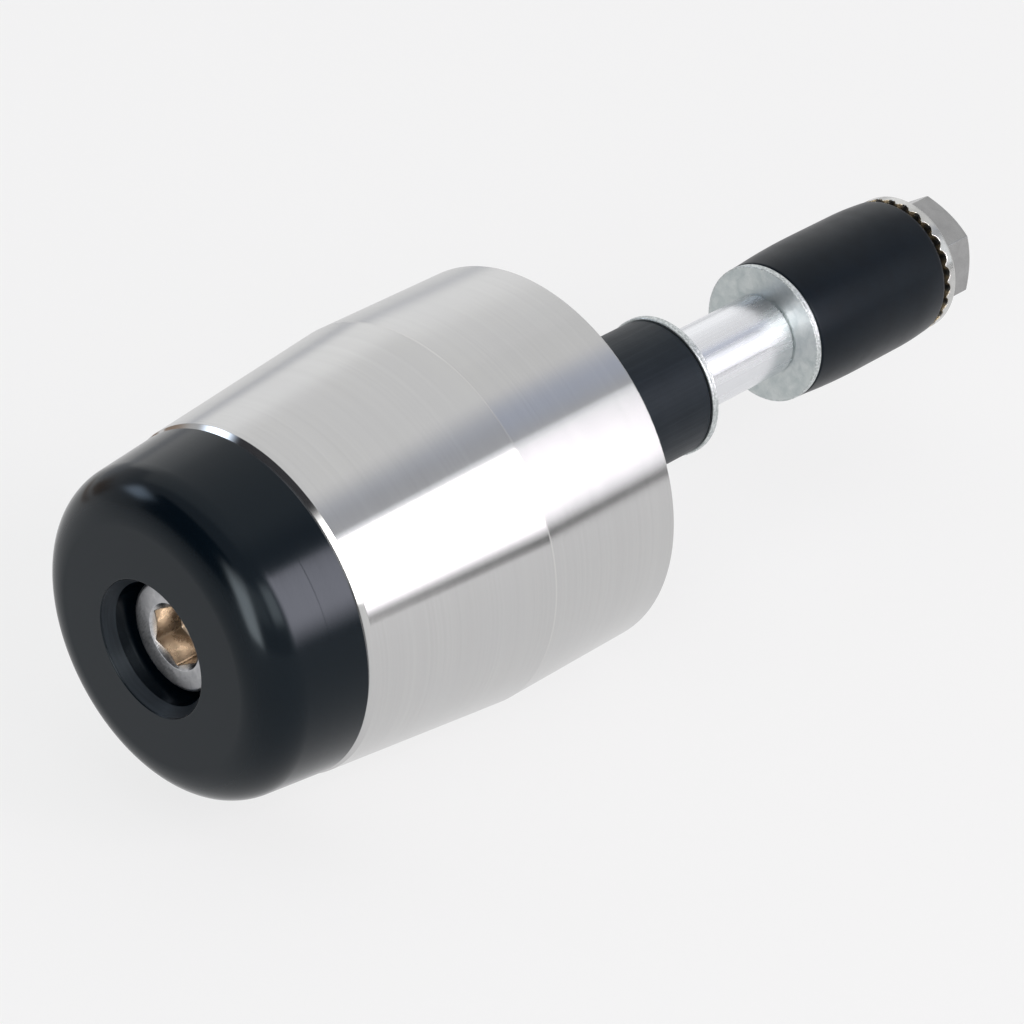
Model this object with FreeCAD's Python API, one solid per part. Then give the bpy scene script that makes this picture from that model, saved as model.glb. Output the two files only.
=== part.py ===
import FreeCAD, Part

import math
import os

# Bar end weight for a motorcycle handlebar, all sizes in millimetres.
# The axis is Y. The origin is on the axis, in the weight's inboard face, where the end of the
# handlebar butts. +Y points into the bar, the cap faces -Y, and +Z is up.

# The weight: a steel slug, a cylinder inboard and a taper towards the cap
weight_dia = 36.0
weight_straight_len = 15.0
weight_taper_len = 19.4
taper_angle = 6.35
weight_front_chamfer = 0.4
weight_rear_chamfer = 0.3

# The cap: it carries on the taper, and its spigot centres it in the weight
cap_len = 10.0
cap_step = 0.1
cap_rounding = 4.2
cap_rear_chamfer = 0.3
spigot_dia = 20.0
spigot_len = 3.0
mouth_widening = 0.7
mouth_depth = 1.1

# The clamp screw: M6, cylinder head with a hexagon socket
screw_dia = 6.0
head_dia = 10.0
head_height = 6.0
head_rounding = 0.55
head_recess = 2.6
head_neck_rounding = 0.25
socket_across_flats = 5.0
socket_depth = 3.0
socket_mouth_widening = 0.25
socket_turn = 30.0
drill_point_angle = 118.0
screw_tip_chamfer = 0.7
thread_past_nut = 1.6

# The rubber bush beside the weight
bush_dia = 13.2
bush_len = 18.6
bush_rounding = 0.3
bush_recess_depth = 1.0

# Two punched washers and the spacer tube between them
washer_dia = 13.6
washer_thickness = 0.7
washer_die_roll = 0.15
washer_break = 0.08
spacer_wall = 0.8
spacer_len = 13.9
spacer_chamfer = 0.2

# The rubber expander that grips the bore of the bar
expander_dia = 14.4
expander_len = 18.8
expander_land_len = 6.0
expander_land_start = 8.1
expander_outboard_drop = 0.42
expander_inboard_drop = 0.32
expander_outboard_rounding = 0.3
expander_inboard_rounding = 1.0

# The flange nut: M6, with a serrated bearing face
nut_height = 5.9
nut_across_flats = 10.0
nut_turn = 33.0
nut_chamfer_angle = 30.0
nut_chamfer_start = 0.15
nut_countersink = 0.45
flange_dia = 13.8
flange_rim_len = 1.25
flange_cone_len = 0.85
flange_cone_top_dia = 10.4
flange_rounding = 0.3
serration_count = 26
serration_depth = 0.45
serration_land_share = 0.14
serration_overrun = 1.1

# Clearances, on the radius where nothing else is said
screw_clearance = 0.3
sleeve_clearance = 0.2
rubber_clearance = 0.1
thread_clearance = 0.02
head_clearance = 0.55
spigot_clearance = 0.05
spigot_end_clearance = 0.2
bush_seat_clearance = 0.2

# Places along the axis, from the cap inwards
weight_rear = 0.0
taper_end = weight_rear - weight_straight_len
weight_front = taper_end - weight_taper_len
cap_front = weight_front - cap_len
head_top = cap_front + head_recess
head_seat = head_top + head_height
spigot_end = weight_front + spigot_len
bush_start = weight_rear - bush_recess_depth
inner_washer_start = bush_start + bush_len
spacer_start = inner_washer_start + washer_thickness
outer_washer_start = spacer_start + spacer_len
expander_start = outer_washer_start + washer_thickness
nut_seat = expander_start + expander_len
nut_end = nut_seat + nut_height
screw_end = nut_end + thread_past_nut

# Radii that several pieces share
weight_radius = weight_dia / 2
taper_slope = math.tan(math.radians(taper_angle))
screw_radius = screw_dia / 2
screw_hole_radius = screw_radius + screw_clearance
sleeve_bore_radius = screw_radius + sleeve_clearance
rubber_bore_radius = screw_radius + rubber_clearance
head_radius = head_dia / 2
spigot_radius = spigot_dia / 2
bush_radius = bush_dia / 2

ORIGIN = FreeCAD.Vector(0, 0, 0)
AXIS = FreeCAD.Vector(0, 1, 0)


def turned_face(face):
    """Turn a face that lies in the XY plane about the Y axis."""
    return face.revolve(ORIGIN, AXIS, 360)


def turned(corners):
    """Turn an outline of (radius, y) corners about the Y axis."""
    points = [FreeCAD.Vector(radius, y, 0) for radius, y in corners]
    return turned_face(Part.Face(Part.makePolygon(points + points[:1])))


def tube(bore_radius, outer_radius, start, end):
    """A plain tube about the Y axis."""
    return turned([(bore_radius, start), (outer_radius, start), (outer_radius, end), (bore_radius, end)])


def rims(solid, radius, y):
    """The circular edges of a turned solid that have this radius and lie at this y."""
    def matches(edge):
        circle = edge.Curve
        return (
            isinstance(circle, Part.Circle)
            and abs(circle.Radius - radius) < 1e-6
            and abs(circle.Center.y - y) < 1e-6
        )
    return [edge for edge in solid.Edges if matches(edge)]


def hexagon_prism(across_flats, turn, start, end):
    """A hexagonal prism along Y, with a corner at the angle turn, from +X towards +Z."""
    corner_radius = across_flats / math.sqrt(3)
    corners = []
    for side in range(7):
        angle = math.radians(turn + 60 * side)
        corners.append(
            FreeCAD.Vector(corner_radius * math.cos(angle), start, corner_radius * math.sin(angle))
        )
    return Part.Face(Part.makePolygon(corners)).extrude(AXIS * (end - start))


def taper_radius(y):
    """Radius of the taper, which runs on from the weight over the cap."""
    return weight_radius - (taper_end - y) * taper_slope


def make_weight():
    recess_radius = spigot_radius + spigot_clearance
    recess_floor = spigot_end + spigot_end_clearance
    bush_recess_radius = bush_radius + bush_seat_clearance
    front_radius = taper_radius(weight_front)
    weight = turned([
        (screw_hole_radius, recess_floor),
        (recess_radius, recess_floor),
        (recess_radius, weight_front),
        (front_radius, weight_front),
        (weight_radius, taper_end),
        (weight_radius, weight_rear),
        (bush_recess_radius, weight_rear),
        (bush_recess_radius, bush_start),
        (screw_hole_radius, bush_start),
    ])
    weight = weight.makeChamfer(weight_front_chamfer, rims(weight, front_radius, weight_front))
    return weight.makeChamfer(weight_rear_chamfer, rims(weight, weight_radius, weight_rear))


def make_cap():
    well_radius = head_radius + head_clearance
    front_radius = taper_radius(cap_front) - cap_step
    rear_radius = taper_radius(weight_front) - cap_step
    cap = turned([
        (well_radius + mouth_widening, cap_front),
        (front_radius, cap_front),
        (rear_radius, weight_front),
        (spigot_radius, weight_front),
        (spigot_radius, spigot_end),
        (screw_hole_radius, spigot_end),
        (screw_hole_radius, head_seat),
        (well_radius, head_seat),
        (well_radius, cap_front + mouth_depth),
    ])
    cap = cap.makeFillet(cap_rounding, rims(cap, front_radius, cap_front))
    return cap.makeChamfer(cap_rear_chamfer, rims(cap, rear_radius, weight_front))


def make_socket():
    """The hexagon socket: a broached prism, its drill point and its countersunk mouth."""
    corner_radius = socket_across_flats / math.sqrt(3)
    mouth_radius = corner_radius + socket_mouth_widening
    flat_radius = socket_across_flats / 2
    floor = head_top + socket_depth
    point_len = flat_radius / math.tan(math.radians(drill_point_angle / 2))
    prism = hexagon_prism(socket_across_flats, socket_turn, head_top, floor)
    point = turned([(0, floor), (flat_radius, floor), (0, floor + point_len)])
    mouth = turned([(0, head_top), (mouth_radius, head_top), (0, head_top + mouth_radius / math.sqrt(3))])
    return prism.fuse([point, mouth])


def make_screw():
    screw = turned([
        (0, head_top),
        (head_radius, head_top),
        (head_radius, head_seat),
        (screw_radius, head_seat),
        (screw_radius, screw_end),
        (0, screw_end),
    ])
    screw = screw.makeFillet(head_rounding, rims(screw, head_radius, head_top))
    screw = screw.makeFillet(head_neck_rounding, rims(screw, screw_radius, head_seat))
    screw = screw.makeChamfer(screw_tip_chamfer, rims(screw, screw_radius, screw_end))
    return screw.cut(make_socket())


def make_bush():
    bush_end = bush_start + bush_len
    bush = tube(rubber_bore_radius, bush_radius, bush_start, bush_end)
    edges = rims(bush, bush_radius, bush_start) + rims(bush, bush_radius, bush_end)
    return bush.makeFillet(bush_rounding, edges)


def make_washer(start, punched_side, other_side):
    """A punched washer: rolled over on the side the punch met, a slight break on the other."""
    washer_radius = washer_dia / 2
    washer = tube(sleeve_bore_radius, washer_radius, start, start + washer_thickness)
    washer = washer.makeFillet(washer_die_roll, rims(washer, washer_radius, punched_side))
    return washer.makeChamfer(washer_break, rims(washer, washer_radius, other_side))


def make_spacer():
    spacer_radius = sleeve_bore_radius + spacer_wall
    spacer_end = spacer_start + spacer_len
    spacer = tube(sleeve_bore_radius, spacer_radius, spacer_start, spacer_end)
    edges = rims(spacer, spacer_radius, spacer_start) + rims(spacer, spacer_radius, spacer_end)
    return spacer.makeChamfer(spacer_chamfer, edges)


def barrel_side(end_y, land_y, land_radius, drop):
    """An arc that falls by drop from the land to the end, tangent to the land."""
    reach = abs(end_y - land_y)
    arc_radius = (reach ** 2 + drop ** 2) / (2 * drop)
    half_turn = math.asin(reach / arc_radius) / 2
    towards_end = math.copysign(1, end_y - land_y)
    middle = FreeCAD.Vector(
        land_radius - arc_radius * (1 - math.cos(half_turn)),
        land_y + towards_end * arc_radius * math.sin(half_turn),
        0,
    )
    end = FreeCAD.Vector(land_radius - drop, end_y, 0)
    land = FreeCAD.Vector(land_radius, land_y, 0)
    return Part.Arc(end, middle, land).toShape()


def make_expander():
    """A rubber barrel with a short straight land, where it grips the bore of the bar."""
    land_radius = expander_dia / 2
    land_start = expander_start + expander_land_start
    land_end = land_start + expander_land_len
    expander_end = expander_start + expander_len
    outboard = barrel_side(expander_start, land_start, land_radius, expander_outboard_drop)
    inboard = barrel_side(expander_end, land_end, land_radius, expander_inboard_drop)
    outboard_radius = land_radius - expander_outboard_drop
    inboard_radius = land_radius - expander_inboard_drop
    corners = [
        FreeCAD.Vector(inboard_radius, expander_end, 0),
        FreeCAD.Vector(rubber_bore_radius, expander_end, 0),
        FreeCAD.Vector(rubber_bore_radius, expander_start, 0),
        FreeCAD.Vector(outboard_radius, expander_start, 0),
    ]
    land = Part.makeLine(outboard.Vertexes[1].Point, inboard.Vertexes[1].Point)
    outline = Part.Wire([outboard, land, inboard] + Part.makePolygon(corners).Edges)
    expander = turned_face(Part.Face(outline))
    expander = expander.makeFillet(
        expander_outboard_rounding, rims(expander, outboard_radius, expander_start)
    )
    return expander.makeFillet(
        expander_inboard_rounding, rims(expander, inboard_radius, expander_end)
    )


def make_nut_blank():
    """The hexagon on its coned flange, with the bore, before the serrations are cut."""
    flange_radius = flange_dia / 2
    rim_end = nut_seat + flange_rim_len
    flange = turned([
        (0, nut_seat),
        (flange_radius, nut_seat),
        (flange_radius, rim_end),
        (flange_cone_top_dia / 2, rim_end + flange_cone_len),
        (0, rim_end + flange_cone_len),
    ])
    flange = flange.makeFillet(flange_rounding, rims(flange, flange_radius, rim_end))

    corner_radius = nut_across_flats / math.sqrt(3)
    chamfer_radius = nut_across_flats / 2 - nut_chamfer_start
    chamfer_drop = (corner_radius - chamfer_radius) * math.tan(math.radians(nut_chamfer_angle))
    envelope = turned([
        (0, nut_seat),
        (corner_radius, nut_seat),
        (corner_radius, nut_end - chamfer_drop),
        (chamfer_radius, nut_end),
        (0, nut_end),
    ])
    hexagon = hexagon_prism(nut_across_flats, nut_turn, rim_end, nut_end).common(envelope)

    bore_radius = screw_radius + thread_clearance
    mouth_radius = bore_radius + nut_countersink
    bore = turned([
        (0, nut_seat),
        (mouth_radius, nut_seat),
        (bore_radius, nut_seat + nut_countersink),
        (bore_radius, nut_end - nut_countersink),
        (mouth_radius, nut_end),
        (0, nut_end),
    ])
    return flange.fuse(hexagon).removeSplitter().cut(bore)


def make_serrations():
    """Cutters for the radial grooves: cones with their points on the axis, so each groove widens
    and deepens towards the rim. Their round bottoms leave the wavy edge seen beside the rubber."""
    flange_radius = flange_dia / 2
    half_pitch = math.pi * flange_radius / serration_count
    half_width = half_pitch * (1 - serration_land_share)
    groove_radius = (half_width ** 2 + serration_depth ** 2) / (2 * serration_depth)
    lift = groove_radius - serration_depth
    centre = FreeCAD.Vector(0, nut_seat, 0)
    outwards = FreeCAD.Vector(flange_radius, -lift, 0)
    cutters = []
    for groove in range(serration_count):
        cone = Part.makeCone(
            0, groove_radius * serration_overrun, outwards.Length * serration_overrun, centre, outwards
        )
        cone.rotate(centre, AXIS, 360 * groove / serration_count)
        cutters.append(cone)
    return cutters


def make_nut():
    return make_nut_blank().cut(make_serrations())


pieces = {
    "end_cap": make_cap(),
    "weight_body": make_weight(),
    "clamp_screw": make_screw(),
    "rubber_bush": make_bush(),
    "inner_washer": make_washer(inner_washer_start, spacer_start, inner_washer_start),
    "spacer_tube": make_spacer(),
    "outer_washer": make_washer(outer_washer_start, outer_washer_start, expander_start),
    "rubber_expander": make_expander(),
    "flange_nut": make_nut(),
}

os.makedirs("parts", exist_ok=True)
for name, solid in pieces.items():
    if solid.ShapeType != "Solid":
        solid = solid.Solids[0]
    solid.exportStep("parts/" + name + ".step")
    print(name, "volume", round(solid.Volume, 1), "valid", solid.isValid())
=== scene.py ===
import math
from functools import reduce

import bpy
from mathutils import Matrix, Vector, noise


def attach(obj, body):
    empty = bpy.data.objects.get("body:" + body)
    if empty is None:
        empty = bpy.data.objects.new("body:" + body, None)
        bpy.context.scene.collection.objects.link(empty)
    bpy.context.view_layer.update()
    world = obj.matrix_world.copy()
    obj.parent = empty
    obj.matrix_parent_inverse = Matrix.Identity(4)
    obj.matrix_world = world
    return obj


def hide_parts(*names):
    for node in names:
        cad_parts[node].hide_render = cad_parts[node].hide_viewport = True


# The looks of the bar end weight: finer pieces over the CAD frame, their materials, the studio
# and the camera. Sizes are in millimetres here and go into the meshes in metres.

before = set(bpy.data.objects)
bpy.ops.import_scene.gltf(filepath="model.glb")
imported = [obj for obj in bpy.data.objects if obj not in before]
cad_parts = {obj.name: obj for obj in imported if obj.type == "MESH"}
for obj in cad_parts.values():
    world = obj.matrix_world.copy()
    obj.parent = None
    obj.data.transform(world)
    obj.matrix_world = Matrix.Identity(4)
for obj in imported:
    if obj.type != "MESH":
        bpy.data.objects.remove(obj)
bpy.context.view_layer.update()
scene = bpy.context.scene

MM = 0.001

# Places along the axis, as in the part's source
CAP_FRONT = -44.4
WEIGHT_FRONT = -34.4
TAPER_END = -15.0
WEIGHT_REAR = 0.0
HEAD_TOP = -41.8
HEAD_SEAT = -35.8
SPIGOT_END = -31.4
BUSH_START = -1.0
INNER_WASHER = 17.6
SPACER = 18.3
OUTER_WASHER = 32.2
EXPANDER = 32.9
NUT_SEAT = 51.7
NUT_END = 57.6
SCREW_END = 59.2
WEIGHT_RADIUS = 18.0
CAP_LINE = -37.8

# Radii that a shape and its material share
WELL_MOUTH = 6.25
WASHER_RADIUS = 6.8
NUT_RIM = 6.9
SOCKET_EDGE = 3.03
WASHER_THICKNESS = 0.7
THREAD_LENGTH = 24
TAPER_SLOPE = math.tan(math.radians(6.35))


def taper_radius(y):
    return WEIGHT_RADIUS - (TAPER_END - y) * TAPER_SLOPE


# Turned pieces

def rounded(corners, steps=5):
    """A closed outline of (radius, y, rounding) corners, anticlockwise, as rings of
    (radius, y, normal radius, normal y) with exact normals."""
    rings = []
    count = len(corners)
    for i in range(count):
        before = Vector(corners[i - 1][:2])
        here = Vector(corners[i][:2])
        after = Vector(corners[(i + 1) % count][:2])
        rounding = corners[i][2]
        into = (here - before).normalized()
        out = (after - here).normalized()
        turn = math.atan2(into.x * out.y - into.y * out.x, into.dot(out))
        side = 1 if turn > 0 else -1
        normal = Vector((into.y, -into.x))
        start = here - into * rounding * math.tan(abs(turn) / 2)
        centre = start - normal * rounding * side
        parts = max(2, min(24, int(steps * (1 + rounding * 4))))
        for k in range(parts + 1):
            n = Matrix.Rotation(turn * k / parts, 2) @ normal
            p = centre + n * rounding * side
            rings.append((p.x, p.y, n.x, n.y))
    return rings


def subdivided(rings, pitch):
    """Puts more rings on the long straight runs of an outline."""
    finer = []
    for a, b in zip(rings, rings[1:] + rings[:1]):
        finer.append(a)
        length = math.hypot(b[0] - a[0], b[1] - a[1])
        parts = int(length / pitch)
        for k in range(1, parts):
            t = k / parts
            finer.append(tuple(a[j] * (1 - t) + b[j] * t for j in range(4)))
    return finer


def lathe(name, rings, count=288, shift=None):
    """Turns an outline about Y. U of the UV map runs along the outline, V round the axis.
    shift(radius, y, angle) moves a point along its normal, in millimetres."""
    points, normals, travel = [], [], [0.0]
    for a, b in zip(rings, rings[1:] + rings[:1]):
        travel.append(travel[-1] + math.hypot(b[0] - a[0], b[1] - a[1]))
    for radius, y, nr, ny in rings:
        for j in range(count):
            angle = 2 * math.pi * j / count
            c, s = math.cos(angle), math.sin(angle)
            d = shift(radius, y, angle) if shift else 0.0
            r = radius + nr * d
            points.append((r * c * MM, (y + ny * d) * MM, r * s * MM))
            normals.append((nr * c, ny, nr * s))
    faces, uvs = [], []
    for i in range(len(rings)):
        k = (i + 1) % len(rings)
        for j in range(count):
            n = (j + 1) % count
            faces.append((i * count + j, k * count + j, k * count + n, i * count + n))
            u0, u1 = travel[i] / 40, travel[i + 1] / 40
            v0, v1 = j / count, (j + 1) / count
            uvs.extend(((u0, v0), (u1, v0), (u1, v1), (u0, v1)))
    mesh = bpy.data.meshes.new(name)
    mesh.from_pydata(points, [], faces)
    layer = mesh.uv_layers.new(name="turned")
    for k, uv in enumerate(uvs):
        layer.data[k].uv = uv
    mesh.polygons.foreach_set("use_smooth", [True] * len(faces))
    if not shift:
        mesh.normals_split_custom_set_from_vertices(normals)
    obj = bpy.data.objects.new(name, mesh)
    scene.collection.objects.link(obj)
    return obj


def sampled(ring, count):
    """A ring as (radius, y) round the axis. A ring is a pair or a function of the angle."""
    return [ring(2 * math.pi * j / count) if callable(ring) else ring for j in range(count)]


def supported(rings, count, near=0.03):
    """Samples rings and puts extra ones beside the ends of long runs, so that smooth shading
    keeps their faces flat."""
    rows = [sampled(ring, count) for ring in rings]
    finer = []
    for a, b in zip(rows, rows[1:]):
        finer.append(a)
        length = math.hypot(b[0][0] - a[0][0], b[0][1] - a[0][1])
        if length > 5 * near:
            for t in (near / length, 1 - near / length):
                finer.append([(p[0] * (1 - t) + q[0] * t, p[1] * (1 - t) + q[1] * t) for p, q in zip(a, b)])
    finer.append(rows[-1])
    return finer


def sheets(name, parts):
    """A mesh from rows of (radius, y) samples, each part with as many columns as its rows have.
    A row of zero radius becomes a point."""
    points, faces, uvs = [], [], []
    for rows in parts:
        count = len(rows[0])
        starts, travel = [], [0.0]
        for i, row in enumerate(rows):
            starts.append(len(points))
            if i:
                before = rows[i - 1]
                travel.append(travel[-1] + math.hypot(row[0][0] - before[0][0], row[0][1] - before[0][1]))
            if row[0][0] == 0:
                points.append((0, row[0][1] * MM, 0))
                continue
            for j, (radius, y) in enumerate(row):
                angle = 2 * math.pi * j / count
                points.append((radius * math.cos(angle) * MM, y * MM, radius * math.sin(angle) * MM))
        for i in range(len(rows) - 1):
            k = i + 1
            u0, u1 = travel[i] / 40, travel[k] / 40
            for j in range(count):
                n = (j + 1) % count
                v0, v1 = j / count, (j + 1) / count
                a, b = starts[i], starts[k]
                if rows[i][0][0] == 0:
                    faces.append((a, b + j, b + n))
                    uvs.extend(((u0, v0), (u1, v0), (u1, v1)))
                elif rows[k][0][0] == 0:
                    faces.append((a + j, b, a + n))
                    uvs.extend(((u0, v0), (u1, v0), (u0, v1)))
                else:
                    faces.append((a + j, b + j, b + n, a + n))
                    uvs.extend(((u0, v0), (u1, v0), (u1, v1), (u0, v1)))
    mesh = bpy.data.meshes.new(name)
    mesh.from_pydata(points, [], faces)
    layer = mesh.uv_layers.new(name="turned")
    for k, uv in enumerate(uvs):
        layer.data[k].uv = uv
    mesh.polygons.foreach_set("use_smooth", [True] * len(faces))
    obj = bpy.data.objects.new(name, mesh)
    scene.collection.objects.link(obj)
    return obj


def hexagon_radius(angle, across_flats, turn, rounding):
    """Radius of a hexagon with rounded corners, one of them at the angle turn."""
    half = across_flats / 2
    sector = math.radians(60)
    off = abs((angle - math.radians(turn) + sector / 2) % sector - sector / 2)
    centre = (half - rounding) / math.cos(sector / 2)
    tangent = math.atan2(rounding * 0.5, centre + rounding * math.cos(sector / 2))
    if off > tangent:
        return half / math.cos(sector / 2 - off)
    return centre * math.cos(off) + math.sqrt(rounding ** 2 - (centre * math.sin(off)) ** 2)


def dress(obj, node, material):
    """The piece stands for a CAD node, rides on the one body and gets its material."""
    obj.data.materials.clear()
    obj.data.materials.append(material)
    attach(obj, "root")
    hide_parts(node)
    return obj


# Node materials

class Shade:
    """A material with short calls for its nodes."""

    def __init__(self, name):
        self.material = bpy.data.materials.new(name)
        self.material.use_nodes = True
        self.tree = self.material.node_tree
        self.tree.nodes.clear()
        self.out = self.tree.nodes.new("ShaderNodeOutputMaterial")
        self.bsdf = self.tree.nodes.new("ShaderNodeBsdfPrincipled")
        self.join(self.bsdf.outputs[0], self.out.inputs["Surface"])
        # Object coordinates in millimetres
        scale = self.tree.nodes.new("ShaderNodeVectorMath")
        scale.operation = "SCALE"
        scale.inputs["Scale"].default_value = 1 / MM
        self.join(self.tree.nodes.new("ShaderNodeTexCoord").outputs["Object"], scale.inputs[0])
        self.position = scale.outputs[0]
        split = self.tree.nodes.new("ShaderNodeSeparateXYZ")
        self.join(self.position, split.inputs[0])
        self.x, self.y, self.z = split.outputs
        square = self.plus(self.times(self.x, self.x), self.times(self.z, self.z))
        self.r = self.math("SQRT", self.math("MAXIMUM", square, 1e-4))
        self.cos = self.math("DIVIDE", self.x, self.r)
        self.sin = self.math("DIVIDE", self.z, self.r)

    def join(self, a, b):
        self.tree.links.new(a, b)

    def put(self, value, socket):
        if isinstance(value, bpy.types.NodeSocket):
            self.join(value, socket)
        else:
            socket.default_value = value

    def math(self, operation, *values):
        node = self.tree.nodes.new("ShaderNodeMath")
        node.operation = operation
        for value, socket in zip(values, node.inputs):
            self.put(value, socket)
        return node.outputs[0]

    def plus(self, a, b):
        return self.math("ADD", a, b)

    def minus(self, a, b):
        return self.math("SUBTRACT", a, b)

    def times(self, *values):
        return reduce(lambda a, b: self.math("MULTIPLY", a, b), values)

    def combine(self, x, y, z):
        node = self.tree.nodes.new("ShaderNodeCombineXYZ")
        for value, socket in zip((x, y, z), node.inputs):
            self.put(value, socket)
        return node.outputs[0]

    def noise(self, vector, scale=1.0, detail=2.0, roughness=0.5, w=None, distortion=0.0):
        node = self.tree.nodes.new("ShaderNodeTexNoise")
        node.noise_dimensions = "4D" if w is not None else "3D"
        self.put(vector, node.inputs["Vector"])
        if w is not None:
            self.put(w, node.inputs["W"])
        node.inputs["Scale"].default_value = scale
        node.inputs["Detail"].default_value = detail
        node.inputs["Roughness"].default_value = roughness
        node.inputs["Distortion"].default_value = distortion
        return node.outputs["Fac"]

    def turned(self, pitch, arcs, detail=2.0):
        """Tool marks: fine along the outline, long round the axis."""
        vector = self.combine(
            self.math("DIVIDE", self.r, pitch),
            self.math("DIVIDE", self.y, pitch),
            self.times(self.cos, arcs),
        )
        return self.noise(vector, detail=detail, w=self.times(self.sin, arcs))

    def drawn(self, pitch, length, detail=2.0):
        """Marks along the axis, as on drawn tube or extruded rubber."""
        vector = self.combine(
            self.math("DIVIDE", self.x, pitch),
            self.math("DIVIDE", self.y, length),
            self.math("DIVIDE", self.z, pitch),
        )
        return self.noise(vector, detail=detail)

    def spread(self, value, low, high, start=0.0, end=1.0, smooth=False):
        """Maps start..end of a value to low..high, clamped."""
        node = self.tree.nodes.new("ShaderNodeMapRange")
        node.interpolation_type = "SMOOTHSTEP" if smooth else "LINEAR"
        node.clamp = True
        names = ("Value", "From Min", "From Max", "To Min", "To Max")
        for k, v in zip(names, (value, start, end, low, high)):
            self.put(v, node.inputs[k])
        return node.outputs["Result"]

    def rise(self, value, start, end, smooth=False):
        """A mask from 0 at start to 1 at end."""
        return self.spread(value, 0, 1, start, end, smooth)

    def fall(self, value, start, end, smooth=False):
        """A mask from 1 at start to 0 at end."""
        return self.spread(value, 1, 0, start, end, smooth)

    def mix(self, factor, a, b, mode="MIX"):
        node = self.tree.nodes.new("ShaderNodeMix")
        node.data_type = "RGBA"
        node.blend_type = mode
        self.put(factor, node.inputs[0])
        for value, socket in ((a, node.inputs[6]), (b, node.inputs[7])):
            self.put(value if isinstance(value, bpy.types.NodeSocket) else (*value, 1.0), socket)
        return node.outputs[2]

    def bump(self, height, distance):
        """distance is in millimetres."""
        node = self.tree.nodes.new("ShaderNodeBump")
        node.inputs["Strength"].default_value = 1.0
        node.inputs["Distance"].default_value = distance * MM
        self.put(height, node.inputs["Height"])
        return node.outputs["Normal"]

    def set(self, **sockets):
        for name, value in sockets.items():
            socket = self.bsdf.inputs[name.replace("_", " ")]
            if isinstance(value, tuple) and len(value) == 3:
                value = (*value, 1.0)
            self.put(value, socket)
        return self.material

    def tangent(self):
        """Along the outline, so that highlights stretch across the turned lines."""
        node = self.tree.nodes.new("ShaderNodeTangent")
        node.direction_type = "UV_MAP"
        node.uv_map = "turned"
        return node.outputs[0]


def make_weight_steel():
    s = Shade("weight_steel")
    fine = s.turned(0.24, 0.5)
    coarse = s.turned(0.90, 0.25)
    cloud = s.noise(s.position, scale=0.12, detail=3)
    marks = s.plus(s.times(fine, 0.6), s.times(coarse, 0.4))
    colour = s.mix(s.rise(marks, 0.3, 0.7), (0.530, 0.528, 0.525), (0.572, 0.570, 0.567))
    colour = s.mix(s.spread(cloud, 0.0, 0.5, 0.35, 0.7), colour, (0.55, 0.55, 0.555))
    # A thin lighter band round the edge of the taper is a painted highlight, standing in for the glint of
    # its small rounding
    edge = s.spread(s.math("ABSOLUTE", s.minus(s.y, TAPER_END)), 0.25, 0, 0.03, 0.10)
    colour = s.mix(edge, colour, (0.80, 0.775, 0.76))
    rough = s.plus(s.spread(coarse, 0.160, 0.172, 0.3, 0.7),
                   s.spread(cloud, -0.01, 0.01, 0.3, 0.7))
    # The chamfer beside the cap is cut with a sharper tool
    face = s.fall(s.y, WEIGHT_FRONT + 0.36, WEIGHT_FRONT + 0.44)
    rough = s.minus(rough, s.times(face, 0.05))
    return s.set(
        Base_Color=colour,
        Metallic=1.0,
        Roughness=rough,
        Anisotropic=1.0,
        Tangent=s.tangent(),
        Normal=s.bump(fine, 0.0005),
    )


def make_cap_plastic():
    s = Shade("cap_plastic")
    fine = s.turned(0.16, 2.0)
    coarse = s.turned(0.8, 0.8)
    grain = s.noise(s.position, scale=14.0, detail=3)
    marks = s.plus(s.times(fine, 0.5), s.times(coarse, 0.5))
    colour = s.mix(s.rise(grain, 0.3, 0.7), (0.0004, 0.0016, 0.0032), (0.0010, 0.0030, 0.0054))
    rough = s.plus(s.spread(marks, 0.145, 0.18, 0.3, 0.7), s.spread(grain, -0.012, 0.012, 0.3, 0.7))
    # The front is duller than the side
    front = s.times(s.fall(s.y, CAP_FRONT + 0.1, CAP_FRONT + 1.0, smooth=True),
                    s.rise(s.r, WELL_MOUTH - 0.05, WELL_MOUTH + 0.05))
    rough = s.plus(rough, s.times(front, 0.15))
    # The mouth of the well is painted a lighter grey with the marks of its cutter in it, a painted
    # reflection, and is rougher
    well = s.times(s.fall(s.r, WELL_MOUTH - 0.10, WELL_MOUTH),
                   s.rise(s.y, CAP_FRONT + 0.04, CAP_FRONT + 0.12),
                   s.fall(s.y, CAP_FRONT + 1.05, CAP_FRONT + 1.15))
    # The lighter grey of the well's mouth is a painted reflection, patterned by the cutter's marks
    cut = s.mix(s.rise(marks, 0.35, 0.65), (0.009, 0.011, 0.014), (0.018, 0.022, 0.027))
    colour = s.mix(well, colour, cut)
    rough = s.plus(rough, s.times(well, 0.22))
    # A fine line round the side, where the tool was set again
    line = s.fall(s.math("ABSOLUTE", s.minus(s.y, CAP_LINE)), 0.0, 0.06, smooth=True)
    height = s.plus(marks, s.times(grain, s.plus(0.3, s.times(well, 1.5))))
    height = s.minus(height, s.times(line, 2.5))
    return s.set(
        Base_Color=colour,
        Roughness=rough,
        IOR=1.31,
        Specular_Tint=(0.80, 0.92, 1.0),
        Normal=s.bump(height, 0.0014),
    )


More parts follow.
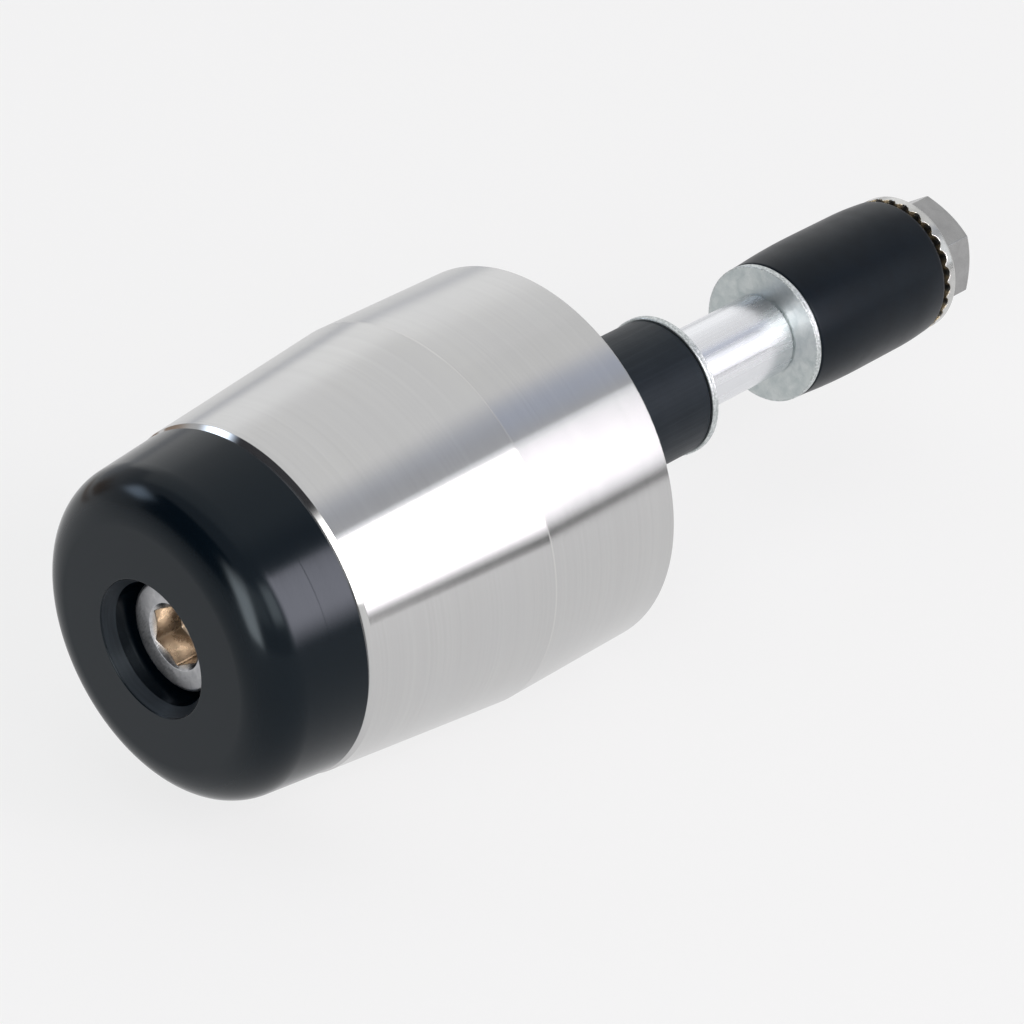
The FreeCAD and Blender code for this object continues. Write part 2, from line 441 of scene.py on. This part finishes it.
def make_rubber(name, low, high, rough_low, rough_high, ior, streaks):
    s = Shade(name)
    grain = s.noise(s.position, scale=9.0, detail=4)
    cloud = s.noise(s.position, scale=0.6, detail=2)
    height = s.times(grain, 0.4)
    tone = s.plus(s.times(grain, 0.5), s.times(cloud, 0.5))
    if streaks:
        lines = s.drawn(0.30, 14.0, 1.0)
        height = s.plus(height, lines)
        tone = s.plus(s.times(tone, 0.5), s.times(lines, 0.5))
    colour = s.mix(s.rise(tone, 0.35, 0.65), low, high)
    return s.set(
        Base_Color=colour,
        Roughness=s.spread(tone, rough_low, rough_high, 0.35, 0.65),
        IOR=ior,
        Specular_Tint=(0.80, 0.92, 1.0),
        Normal=s.bump(height, 0.012),
    )


def make_washer_steel():
    s = Shade("washer_steel")
    cells = s.tree.nodes.new("ShaderNodeTexVoronoi")
    s.put(s.position, cells.inputs["Vector"])
    cells.inputs["Scale"].default_value = 1.1
    spangle = s.tree.nodes.new("ShaderNodeSeparateColor")
    s.join(cells.outputs["Color"], spangle.inputs[0])
    cloud = s.noise(s.position, scale=0.9, detail=4, distortion=0.6)
    grain = s.noise(s.position, scale=12.0, detail=3)
    tone = s.plus(s.times(cloud, 0.7), s.times(spangle.outputs[0], 0.12))
    tone = s.plus(tone, s.times(grain, 0.25))
    colour = s.mix(s.rise(tone, 0.35, 0.72), (0.44, 0.485, 0.49), (0.59, 0.62, 0.615))
    # The torn rim glitters
    rim = s.rise(s.r, WASHER_RADIUS - 0.20, WASHER_RADIUS - 0.10)
    specks = s.noise(s.position, scale=4.5, detail=2, roughness=0.6)
    torn = s.mix(s.rise(specks, 0.42, 0.60), (0.42, 0.45, 0.45), (0.64, 0.67, 0.67))
    colour = s.mix(rim, colour, torn)
    height = s.plus(cloud, s.times(grain, 0.35))
    return s.set(
        Base_Color=colour,
        Metallic=1.0,
        Roughness=s.plus(s.spread(tone, 0.42, 0.34, 0.35, 0.72), s.times(rim, 0.04)),
        Normal=s.bump(s.plus(height, s.times(specks, rim, 1.2)), 0.012),
    )


def make_spacer_aluminium():
    s = Shade("spacer_aluminium")
    lines = s.drawn(0.20, 120.0, 1.0)
    cloud = s.noise(s.position, scale=0.5, detail=3)
    colour = s.mix(s.rise(lines, 0.35, 0.65), (0.74, 0.75, 0.775), (0.78, 0.79, 0.815))
    return s.set(
        Base_Color=colour,
        Metallic=1.0,
        Roughness=s.plus(s.spread(lines, 0.23, 0.27, 0.3, 0.7), s.spread(cloud, 0, 0.03, 0.3, 0.7)),
        Anisotropic=0.4,
        Tangent=s.tangent(),
        Normal=s.bump(lines, 0.0002),
    )


def make_nut_steel():
    s = Shade("nut_steel")
    cloud = s.noise(s.position, scale=0.8, detail=4, distortion=0.4)
    grain = s.noise(s.position, scale=10.0, detail=3)
    tone = s.plus(s.times(cloud, 0.65), s.times(grain, 0.35))
    colour = s.mix(s.rise(tone, 0.35, 0.65), (0.50, 0.50, 0.49), (0.60, 0.60, 0.59))
    # Oil left in the grooves of the bearing face
    oily = s.times(s.fall(s.y, NUT_SEAT + 0.30, NUT_SEAT + 0.50),
                   s.fall(s.r, NUT_RIM - 0.06, NUT_RIM - 0.01))
    colour = s.mix(oily, colour, (0.42, 0.34, 0.22))
    # The hexagon keeps the dull skin of its forming
    dull = s.times(s.rise(s.y, NUT_SEAT + 1.50, NUT_SEAT + 1.70), s.fall(s.r, 6.1, 6.5))
    colour = s.mix(dull, colour, (0.64, 0.64, 0.65), "MULTIPLY")
    rough = s.plus(s.spread(tone, 0.22, 0.15, 0.35, 0.65),
                   s.plus(s.times(oily, 0.30), s.times(dull, 0.05)))
    return s.set(
        Base_Color=colour,
        Metallic=1.0,
        Roughness=rough,
        Normal=s.bump(tone, 0.02),
    )


def make_screw_steel():
    s = Shade("screw_steel")
    cloud = s.noise(s.position, scale=1.3, detail=5, distortion=0.8)
    grain = s.noise(s.position, scale=13.0, detail=3)
    tone = s.plus(s.times(cloud, 0.85), s.times(grain, 0.15))
    colour = s.mix(s.rise(tone, 0.35, 0.68), (0.38, 0.385, 0.40), (0.52, 0.52, 0.53))
    inside = s.times(s.fall(s.r, SOCKET_EDGE - 0.08, SOCKET_EDGE),
                     s.rise(s.y, HEAD_TOP + 0.06, HEAD_TOP + 0.30))
    before_nut = s.fall(s.y, HEAD_SEAT, HEAD_SEAT + 1)
    # Oil has browned the broached walls
    broached = s.times(inside, before_nut)
    outside = s.minus(1.0, broached)
    stain = s.rise(s.noise(s.position, scale=0.7, detail=0), 0.38, 0.60, smooth=True)
    colour = s.mix(broached, colour, s.mix(stain, (0.42, 0.36, 0.295), (0.60, 0.51, 0.42)))
    # Strokes of a slipped key on the lower left of the head
    strokes = s.noise(s.combine(
        s.times(s.plus(s.x, s.z), 1.1),
        s.times(s.y, 0.5),
        s.times(s.minus(s.x, s.z), 4.0),
    ), detail=3)
    lower_left = s.fall(s.plus(s.x, s.times(s.z, 0.8)), -3.4, -1.6, smooth=True)
    struck = s.times(lower_left, before_nut, s.rise(s.r, 2.6, 3.0), outside)
    stroke_depth = s.spread(strokes, 0, 0.7, 0.48, 0.70)
    colour = s.mix(s.times(struck, stroke_depth), colour, (0.25, 0.26, 0.28))
    bright = s.times(before_nut, s.fall(s.r, SOCKET_EDGE, SOCKET_EDGE + 0.04))
    height = s.times(tone, outside)
    height = s.plus(height, s.times(s.drawn(0.45, 9.0, 0.0), broached, 0.5))
    height = s.plus(height, s.times(strokes, struck, 2.5))
    rough = s.minus(s.spread(tone, 0.38, 0.28, 0.35, 0.68), s.times(bright, 0.15))
    return s.set(
        Base_Color=colour,
        Metallic=1.0,
        Roughness=s.plus(rough, s.times(broached, 0.10)),
        Normal=s.bump(height, 0.012),
    )


# The pieces

def make_weight(material):
    front = taper_radius(WEIGHT_FRONT)
    outline = rounded([
        (3.3, SPIGOT_END + 0.2, 0.05),
        (10.05, SPIGOT_END + 0.2, 0.05),
        (10.05, WEIGHT_FRONT, 0.08),
        (front - 0.4, WEIGHT_FRONT, 0.05),
        (taper_radius(WEIGHT_FRONT + 0.4), WEIGHT_FRONT + 0.4, 0.08),
        (taper_radius(TAPER_END - 0.08), TAPER_END - 0.08, 0.03),
        (WEIGHT_RADIUS - 0.018, TAPER_END - 0.03, 0.02),
        (WEIGHT_RADIUS, TAPER_END + 0.02, 0.02),
        (WEIGHT_RADIUS, WEIGHT_REAR - 0.3, 0.10),
        (WEIGHT_RADIUS - 0.3, WEIGHT_REAR, 0.05),
        (6.8, WEIGHT_REAR, 0.08),
        (6.8, BUSH_START, 0.05),
        (3.3, BUSH_START, 0.05),
    ])
    obj = lathe("weight_body_turned", subdivided(outline, 2.0), 360)
    return dress(obj, "weight_body", material)


def make_cap(material):
    front = taper_radius(CAP_FRONT) - 0.1
    rear = taper_radius(WEIGHT_FRONT) - 0.1
    outline = rounded([
        (WELL_MOUTH, CAP_FRONT, 0.12),
        (front, CAP_FRONT, 4.2),
        (rear - 0.3 * TAPER_SLOPE, WEIGHT_FRONT - 0.3, 0.06),
        (rear - 0.3, WEIGHT_FRONT, 0.05),
        (10.0, WEIGHT_FRONT, 0.05),
        (10.0, SPIGOT_END, 0.1),
        (3.3, SPIGOT_END, 0.05),
        (3.3, HEAD_SEAT, 0.05),
        (5.55, HEAD_SEAT, 0.1),
        (5.55, CAP_FRONT + 1.1, 0.10),
    ])
    obj = lathe("end_cap_turned", subdivided(outline, 2.0), 360)
    return dress(obj, "end_cap", material)


def make_bush(material):
    end = INNER_WASHER
    outline = rounded([
        (3.1, BUSH_START, 0.1),
        (6.6, BUSH_START, 0.3),
        (6.6, end, 0.3),
        (3.1, end, 0.1),
    ])
    return dress(lathe("rubber_bush_moulded", outline, 240), "rubber_bush", material)


def make_expander(material):
    """A barrel with a straight land. Its sides are arcs that drop towards both ends."""
    land, start, end = 7.2, EXPANDER, NUT_SEAT
    first_arc = 8.1
    land_start, land_end = start + first_arc, start + 14.1
    start_drop, end_drop = 0.42, 0.32

    def side(reach, drop, t):
        radius = (reach ** 2 + drop ** 2) / (2 * drop)
        d = reach * t
        return radius - math.sqrt(radius ** 2 - d ** 2), math.asin(d / radius)

    outline = rounded([
        (3.1, start, 0.1),
        (land - start_drop, start, 0.3),
        (land - end_drop, end, 1.0),
        (3.1, end, 0.1),
    ])
    inner = [ring for ring in outline if ring[0] < 5]
    barrel = []
    steps = 14
    for k in range(steps + 1):
        t = 1 - k / steps
        drop, tilt = side(first_arc, start_drop, t)
        barrel.append((land - drop, land_start - first_arc * t, math.cos(tilt), -math.sin(tilt)))
    for k in range(steps + 1):
        t = k / steps
        drop, tilt = side(end - land_end, end_drop, t)
        barrel.append((land - drop, land_end + (end - land_end) * t, math.cos(tilt), math.sin(tilt)))
    first = fillet_between((0, -1), barrel, 0.3, start, True)
    last = fillet_between((0, 1), barrel, 1.0, end, False)
    middle = [b for b in barrel if first[-1][1] < b[1] < last[0][1]]
    bottom = [ring for ring in inner if ring[1] < (start + end) / 2]
    top = [ring for ring in inner if ring[1] > (start + end) / 2]
    whole = bottom + first + middle + last + top
    obj = lathe("rubber_expander_moulded", whole, 288)
    return dress(obj, "rubber_expander", material)


def fillet_between(face_normal, barrel, radius, face_y, at_start):
    """The rounding between an end face and the barrel's side near it."""
    edge = barrel[0] if at_start else barrel[-1]
    side_normal = Vector((edge[2], edge[3]))
    face = Vector(face_normal)
    towards = 1 if at_start else -1
    centre_y = face_y + towards * radius
    near = min(barrel, key=lambda b: abs(b[1] - centre_y))
    centre = Vector((near[0] - radius * near[2], centre_y))
    turn = math.acos(max(-1.0, min(1.0, side_normal.dot(face))))
    rings = []
    for k in range(9):
        angle = -math.pi / 2 * towards + towards * turn * k / 8
        n = Vector((math.cos(angle), math.sin(angle)))
        p = centre + n * radius
        rings.append((p.x, p.y, n.x, n.y))
    return rings if at_start else rings[::-1]


def make_washer(name, node, start, rolled_towards_nut, seed, material):
    """A punched washer: rolled edge, a smooth sheared band and a torn one."""
    radius, thick = WASHER_RADIUS, WASHER_THICKNESS
    if rolled_towards_nut:
        fillets = (0.08, 0.15)
        torn = (start + 0.06, start + 0.46)
    else:
        fillets = (0.15, 0.08)
        torn = (start + 0.24, start + 0.64)
    outline = rounded([
        (3.2, start, 0.08),
        (radius, start, fillets[0]),
        (radius, start + thick, fillets[1]),
        (3.2, start + thick, 0.08),
    ], 6)

    def shift(r, y, angle):
        c, s = math.cos(angle), math.sin(angle)
        if r < radius - 0.25:
            return 0.004 * noise.noise(Vector((c * r * 0.7, s * r * 0.7, y + seed)))
        rough = 0.0
        edge_wave = 0.08 * noise.noise(Vector((c * 12, s * 12, seed)))
        depth = min(y - torn[0] - edge_wave, torn[1] - y + edge_wave)
        if depth > 0:
            p = Vector((c * 30, s * 30, y * 5 + seed))
            rough = min(1.0, depth / 0.06) * (0.5 + noise.noise(p) + 0.6 * noise.noise(p * 2.3))
        return -0.03 * max(0.0, rough)

    obj = lathe(name, subdivided(outline, 0.07), 540, shift=shift)
    return dress(obj, node, material)


def make_spacer(material):
    inner, outer = 3.2, 4.0
    outline = rounded([
        (inner, SPACER, 0.05),
        (outer - 0.2, SPACER, 0.04),
        (outer, SPACER + 0.2, 0.06),
        (outer, OUTER_WASHER - 0.2, 0.06),
        (outer - 0.2, OUTER_WASHER, 0.04),
        (inner, OUTER_WASHER, 0.05),
    ])
    return dress(lathe("spacer_tube_drawn", outline, 240), "spacer_tube", material)


def make_screw(material):
    """Cylinder head with a broached hexagon socket, and an M6 thread at the other end."""
    count = 360
    mouth = 2.5 / math.cos(math.radians(30)) + 0.17
    rounding = 0.35
    floor = HEAD_TOP + 3.0

    def wall(angle):
        return hexagon_radius(angle, 5.0, 30, 0.28)

    def on_cone(radius):
        return HEAD_TOP + (mouth - radius) / math.sqrt(3)

    head = [
        (0, floor + 2.5 / math.tan(math.radians(59))),
        (0.25, floor + 2.3 / math.tan(math.radians(59))),
        (2.46, floor + 0.03),
        (2.49, floor),
        lambda a: (max(2.495, wall(a) - 0.10), floor),
        lambda a: (wall(a) - 0.03, floor - 0.01),
        lambda a: (wall(a), floor - 0.06),
        lambda a: (wall(a), on_cone(wall(a)) + 0.04),
        lambda a: (wall(a) + 0.03, on_cone(wall(a) + 0.03)),
        (mouth - 0.02, on_cone(mouth - 0.02)),
        (mouth + 0.02, HEAD_TOP),
    ]
    for k in range(9):
        a = math.radians(90 * k / 8)
        head.append((5 - rounding * (1 - math.sin(a)), HEAD_TOP + rounding * (1 - math.cos(a))))
    head += [(5.0, HEAD_SEAT - 0.15), (4.97, HEAD_SEAT - 0.05), (4.9, HEAD_SEAT)]
    for k in range(5):
        a = math.radians(90 * k / 4)
        head.append((3.25 - 0.25 * math.sin(a), HEAD_SEAT + 0.25 * (1 - math.cos(a))))
    thread_start = SCREW_END - THREAD_LENGTH
    head.append((3.0, thread_start))

    def thread(y):
        def ring(angle):
            phase = (y + angle / (2 * math.pi)) % 1.0
            off = min(phase, 1 - phase)
            depth = max(0.0, min(0.613, (off - 0.0625) * math.sqrt(3)))
            depth *= min(1.0, (y - thread_start) / 1.5)
            return min(3.0 - depth, 2.3 + SCREW_END - y), y
        return ring

    steps = 288
    shank = [thread(thread_start + THREAD_LENGTH * k / steps) for k in range(steps + 1)]
    tip = [(2.3, SCREW_END), (2.22, SCREW_END), (1.2, SCREW_END - 0.02), (0, SCREW_END - 0.03)]
    rows = [sampled(ring, 96) for ring in shank + tip]
    obj = sheets("clamp_screw_m6", [supported(head, count), rows])
    return dress(obj, "clamp_screw", material)


def make_nut(material):
    """A hexagon on a coned flange, with serrations on its bearing face."""
    teeth, columns = 26, 24
    count = teeth * columns
    rim = NUT_RIM
    half_pitch = math.pi * rim / teeth
    half_width = half_pitch * 0.86
    groove = (half_width ** 2 + 0.45 ** 2) / (2 * 0.45)

    def cut(angle, radius):
        along = (angle * teeth / (2 * math.pi) + 0.5) % 1.0 - 0.5
        u = along * 2 * half_pitch
        deep = math.sqrt(max(0.0, groove ** 2 - u ** 2)) - (groove - 0.45)
        return max(0.0, deep) * radius / rim

    def bearing(radius, lift=0.0):
        return lambda a: (radius, NUT_SEAT + cut(a, radius) + lift)

    def side(angle):
        return hexagon_radius(angle, 10.0, 33, 0.16)

    rim_end = NUT_SEAT + 1.25

    def cone(radius):
        return min(rim_end + (rim - radius) * 0.5, rim_end + 0.85)

    def top(radius):
        return NUT_END - max(0.0, radius - 4.85) * math.tan(math.radians(30))

    rings = [bearing(3.50)]
    rings += [bearing(radius) for radius in (4.0, 4.8, 5.6, 6.3, 6.75, 6.86)]
    rings += [bearing(rim, 0.03), bearing(rim, 0.07)]
    rings.append((rim, rim_end - 0.24))
    for k in range(7):
        a = math.radians(5 + 58.4 * k / 6)
        rings.append((rim - 0.3 * (1 - math.cos(a)), rim_end - 0.185 + 0.3 * math.sin(a) - 0.03))
    rings += [
        (6.0, cone(6.0)),
        lambda a: (max(5.2, side(a) + 0.12), cone(max(5.2, side(a) + 0.12))),
        lambda a: (side(a) + 0.05, cone(side(a) + 0.05) + 0.01),
        lambda a: (side(a), cone(side(a)) + 0.07),
        lambda a: (side(a), top(side(a)) - 0.05),
        lambda a: (side(a) - 0.02, top(side(a) - 0.02) - 0.012),
        lambda a: (max(4.87, side(a) - 0.06), top(max(4.87, side(a) - 0.06))),
        (4.87, top(4.87) - 0.002),
        (4.82, NUT_END),
        (3.52, NUT_END),
        (3.47, NUT_END - 0.02),
        (3.04, NUT_END - 0.44),
        (3.02, NUT_END - 0.50),
        (3.02, NUT_SEAT + 0.50),
        (3.04, NUT_SEAT + 0.44),
        (3.46, NUT_SEAT + 0.03),
    ]
    rows = supported(rings, count)
    rows.append(rows[0])
    obj = sheets("flange_nut_serrated", [rows])
    return dress(obj, "flange_nut", material)


def make_studio_material(name, colour, strength, soft=(0.0, 0.0, 0.0, 0.0)):
    """A lit card. soft is how far in from its left, right, lower and upper edge it fades."""
    material = bpy.data.materials.new(name)
    material.use_nodes = True
    tree = material.node_tree
    tree.nodes.clear()
    out = tree.nodes.new("ShaderNodeOutputMaterial")
    glow = tree.nodes.new("ShaderNodeEmission")
    glow.inputs["Color"].default_value = (*colour, 1.0)
    glow.inputs["Strength"].default_value = strength
    clear = tree.nodes.new("ShaderNodeBsdfTransparent")
    coord = tree.nodes.new("ShaderNodeUVMap")
    split = tree.nodes.new("ShaderNodeSeparateXYZ")
    tree.links.new(coord.outputs[0], split.inputs[0])
    front = tree.nodes.new("ShaderNodeNewGeometry").outputs["Backfacing"]
    value = tree.nodes.new("ShaderNodeMath")
    value.operation = "SUBTRACT"
    value.inputs[0].default_value = 1.0
    tree.links.new(front, value.inputs[1])
    level = value.outputs[0]
    for k, width in enumerate(soft):
        if width <= 0:
            continue
        ramp = tree.nodes.new("ShaderNodeMapRange")
        ramp.interpolation_type = "SMOOTHSTEP"
        tree.links.new(split.outputs[k // 2], ramp.inputs["Value"])
        ramp.inputs["From Min"].default_value = 0.0 if k % 2 == 0 else 1.0
        ramp.inputs["From Max"].default_value = width if k % 2 == 0 else 1.0 - width
        times = tree.nodes.new("ShaderNodeMath")
        times.operation = "MULTIPLY"
        tree.links.new(level, times.inputs[0])
        tree.links.new(ramp.outputs["Result"], times.inputs[1])
        level = times.outputs[0]
    mix = tree.nodes.new("ShaderNodeMixShader")
    tree.links.new(level, mix.inputs[0])
    tree.links.new(clear.outputs[0], mix.inputs[1])
    tree.links.new(glow.outputs[0], mix.inputs[2])
    tree.links.new(mix.outputs[0], out.inputs["Surface"])
    return material


def card(name, corners, material, shadow=True):
    """A flat four-cornered card, which lights the object but isn't seen by the camera."""
    mesh = bpy.data.meshes.new(name)
    mesh.from_pydata([Vector(c) for c in corners], [], [(0, 1, 2, 3)])
    layer = mesh.uv_layers.new(name="UVMap")
    for k, uv in enumerate(((0, 0), (1, 0), (1, 1), (0, 1))):
        layer.data[k].uv = uv
    mesh.materials.append(material)
    obj = bpy.data.objects.new(name, mesh)
    scene.collection.objects.link(obj)
    obj.visible_camera = False
    obj.visible_shadow = shadow


def upright_card(name, x, y0, y1, z0, z1, material, shadow=True):
    """A card across X."""
    card(name, [(x, y1, z0), (x, y0, z0), (x, y0, z1), (x, y1, z1)], material, shadow)


def facing_card(name, azimuth, elevation, distance, width, height, material):
    """A card that faces the object from this direction."""
    a, e = math.radians(azimuth), math.radians(elevation)
    out = Vector((math.cos(a) * math.cos(e), math.sin(a) * math.cos(e), math.sin(e)))
    side = Vector((-math.sin(a), math.cos(a), 0))
    up = out.cross(side)
    c = out * distance
    w, h = side * width / 2, up * height / 2
    card(name, [c + w - h, c - w - h, c - w + h, c + w + h], material)


def make_studio():
    # Softbox on the right, standing on the floor
    box = make_studio_material("softbox", (0.97, 1.0, 1.03), 1.15, (0.10, 0.05, 0.06, 0.03))
    upright_card("softbox_right", 0.62, -0.03, 1.05, -0.016, 0.715, box)
    # The bright part of the softbox, where its tube is
    core = make_studio_material("softbox_core", (1.10, 0.98, 1.04), 9.4, (0.20, 0.40, 0.30, 0.08))
    upright_card("softbox_core", 0.61, 0.02, 0.36, -0.016, 0.64, core)
    # A second softbox beside it
    wing = make_studio_material("softbox_wing", (1.0, 1.0, 1.0), 4.4, (0.3, 0.3, 0.3, 0.3))
    facing_card("softbox_front", -9, 30, 0.85, 0.50, 0.48, wing)
    # Dim light between it and the one in front
    fill = make_studio_material("softbox_fill", (1.0, 1.0, 1.0), 1.5, (0.3, 0.3, 0.3, 0.3))
    facing_card("softbox_middle", -42, 26, 0.95, 0.60, 0.50, fill)
    # The dark foot of the softbox on the right, brought near the object
    foot = make_studio_material("softbox_foot", (0.02, 0.02, 0.02), 1.0)
    upright_card("softbox_foot", 0.20, 0.05, 0.9, -0.018, -0.0028, foot, shadow=False)
    # A bluish curtain above it
    curtain = make_studio_material("curtain", (0.54, 0.59, 0.72), 1.0, (0.2, 0.35, 0.0, 0.5))
    facing_card("curtain_right", 57, 49, 0.90, 0.34, 0.36, curtain)
    # A narrower softbox in front on the right
    strip = make_studio_material("strip", (1.0, 0.99, 0.98), 8.0, (0.33, 0.33, 0.0, 0.45))
    facing_card("strip_front", -65, 19, 0.85, 0.46, 0.78, strip)
    # A window behind the camera on the left
    window = make_studio_material("window", (0.80, 0.92, 1.10), 4.2, (0.42, 0.42, 0.40, 0.40))
    facing_card("window_left", -151, 27, 1.2, 0.56, 0.46, window)
    # The brown wall beside it, its light part, and the edge of the table
    brown = make_studio_material("wall_brown", (0.36, 0.27, 0.21), 1.0, (0.3, 0.3, 0.0, 0.5))
    facing_card("wall_front", -172, 5, 1.3, 0.62, 0.60, brown)
    wall = make_studio_material("wall", (0.64, 0.655, 0.69), 1.0, (0.1, 0.1, 0.0, 0.15))
    facing_card("wall_left", 155, 4, 1.5, 1.0, 0.70, wall)
    upright_card("table_edge", -0.20, 0.04, -0.12, -0.018, 0.0, brown, shadow=False)
    # A grey card behind the nut
    grey = make_studio_material("grey_card", (0.85, 0.85, 0.85), 1.0, (0.3, 0.3, 0.3, 0.3))
    facing_card("card_behind", 88, 42, 1.0, 0.50, 0.44, grey)
    # A black flag behind the camera
    flag = make_studio_material("flag", (0.05, 0.05, 0.055), 1.0)
    facing_card("flag_behind", -105, 33, 1.3, 1.6, 1.0, flag)
    # A large screen overhead, which fades towards the right, and one on the left
    z, xa, xb, ya, yb = 0.95, -1.5, 0.62, -0.30, 1.5
    screen = make_studio_material("screen", (1.0, 1.0, 1.0), 0.96, (0.1, 0.20, 0.1, 0.1))
    card("screen_overhead", [(xa, ya, z), (xb, ya, z), (xb, yb, z), (xa, yb, z)][::-1], screen)
    side = make_studio_material("side", (1.0, 1.0, 1.0), 1.14, (0.15, 0.15, 0.2, 0.2))
    facing_card("screen_left", 139, 22, 1.4, 1.35, 0.86, side)


def make_world():
    """An even grey, a little lighter near the horizon."""
    world = bpy.data.worlds.new("studio")
    scene.world = world
    world.use_nodes = True
    tree = world.node_tree
    tree.nodes.clear()
    out = tree.nodes.new("ShaderNodeOutputWorld")
    background = tree.nodes.new("ShaderNodeBackground")
    coord = tree.nodes.new("ShaderNodeTexCoord")
    split = tree.nodes.new("ShaderNodeSeparateXYZ")
    tree.links.new(coord.outputs["Generated"], split.inputs[0])
    ramp = tree.nodes.new("ShaderNodeMapRange")
    ramp.interpolation_type = "SMOOTHSTEP"
    tree.links.new(split.outputs[2], ramp.inputs["Value"])
    ramp.inputs["From Min"].default_value = 0.08
    ramp.inputs["From Max"].default_value = 0.55
    mix = tree.nodes.new("ShaderNodeMix")
    mix.data_type = "RGBA"
    tree.links.new(ramp.outputs["Result"], mix.inputs[0])
    mix.inputs[6].default_value = (0.62, 0.62, 0.62, 1.0)
    mix.inputs[7].default_value = (0.54, 0.55, 0.575, 1.0)
    tree.links.new(mix.outputs[2], background.inputs["Color"])
    tree.links.new(background.outputs[0], out.inputs["Surface"])


def make_floor():
    """A pale matt disc that the weight lies on."""
    floor_mesh = bpy.data.meshes.new("floor")
    rings, count, points, faces = 8, 64, [(0.0, 0.0, 0.0)], []
    for i in range(rings):
        radius = 3.0 * ((i + 1) / rings) ** 2
        for j in range(count):
            angle = 2 * math.pi * j / count
            points.append((radius * math.cos(angle), radius * math.sin(angle), 0.0))
    for j in range(count):
        n = (j + 1) % count
        faces.append((0, 1 + j, 1 + n))
        for i in range(rings - 1):
            faces.append((1 + i * count + j, 1 + (i + 1) * count + j,
                          1 + (i + 1) * count + n, 1 + i * count + n))
    floor_mesh.from_pydata(points, [], faces)
    floor = bpy.data.objects.new("floor", floor_mesh)
    scene.collection.objects.link(floor)
    floor.location.z = -(WEIGHT_RADIUS + 0.02) * MM
    material = bpy.data.materials.new("floor")
    material.use_nodes = True
    bsdf = material.node_tree.nodes["Principled BSDF"]
    bsdf.inputs["Base Color"].default_value = (0.50, 0.50, 0.50, 1.0)
    bsdf.inputs["Roughness"].default_value = 0.80
    bsdf.inputs["Specular IOR Level"].default_value = 0.1
    # To the camera, in metal and through glass it is near white, and keeps the shadow
    tree = material.node_tree
    path = tree.nodes.new("ShaderNodeLightPath")
    seen = path.outputs["Is Camera Ray"]
    for output in ("Is Glossy Ray", "Is Transmission Ray"):
        either = tree.nodes.new("ShaderNodeMath")
        either.operation = "MAXIMUM"
        tree.links.new(seen, either.inputs[0])
        tree.links.new(path.outputs[output], either.inputs[1])
        seen = either.outputs[0]
    share = tree.nodes.new("ShaderNodeMath")
    share.operation = "MULTIPLY"
    tree.links.new(seen, share.inputs[0])
    share.inputs[1].default_value = 0.76
    white = tree.nodes.new("ShaderNodeEmission")
    white.inputs["Color"].default_value = (1.0, 1.0, 1.0, 1.0)
    white.inputs["Strength"].default_value = 1.0
    mixed = tree.nodes.new("ShaderNodeMixShader")
    tree.links.new(share.outputs[0], mixed.inputs[0])
    tree.links.new(bsdf.outputs[0], mixed.inputs[1])
    tree.links.new(white.outputs[0], mixed.inputs[2])
    tree.links.new(mixed.outputs[0], tree.nodes["Material Output"].inputs["Surface"])
    floor_mesh.materials.append(material)


def make_camera():
    """The photograph's view, as it was fitted to the turned circles."""
    focal_pixels, frame_pixels = 3700.1, 1024
    data = bpy.data.cameras.new("camera")
    camera = bpy.data.objects.new("camera", data)
    scene.collection.objects.link(camera)
    data.sensor_width = 36.0
    data.lens = data.sensor_width * focal_pixels / frame_pixels
    data.clip_start = 0.01
    data.clip_end = 20.0
    azimuth, elevation = math.radians(44.1227), math.radians(30.7322)
    back = Vector((
        math.sin(azimuth) * math.cos(elevation),
        -math.cos(azimuth) * math.cos(elevation),
        math.sin(elevation),
    ))
    camera.rotation_mode = "QUATERNION"
    camera.rotation_quaternion = back.to_track_quat("Z", "Y")
    camera.location = Vector((198.671, -206.661, 164.588)) * MM
    scene.camera = camera


scene.view_settings.view_transform = "Standard"
weight_steel = make_weight_steel()
cap_plastic = make_cap_plastic()
bush_rubber = make_rubber(
    "bush_rubber", (0.003, 0.005, 0.008), (0.007, 0.010, 0.014), 0.48, 0.40, 1.31, streaks=True)
expander_rubber = make_rubber(
    "expander_rubber", (0.001, 0.002, 0.004), (0.002, 0.004, 0.007), 0.38, 0.32, 1.25, streaks=False)
washer_steel = make_washer_steel()
spacer_aluminium = make_spacer_aluminium()
nut_steel = make_nut_steel()
screw_steel = make_screw_steel()

make_weight(weight_steel)
make_cap(cap_plastic)
make_bush(bush_rubber)
make_expander(expander_rubber)
make_washer("inner_washer_punched", "inner_washer", INNER_WASHER, False, 3.1, washer_steel)
make_washer("outer_washer_punched", "outer_washer", OUTER_WASHER, True, 8.7, washer_steel)
make_spacer(spacer_aluminium)
make_screw(screw_steel)
make_nut(nut_steel)
make_studio()
make_world()
make_floor()
make_camera()
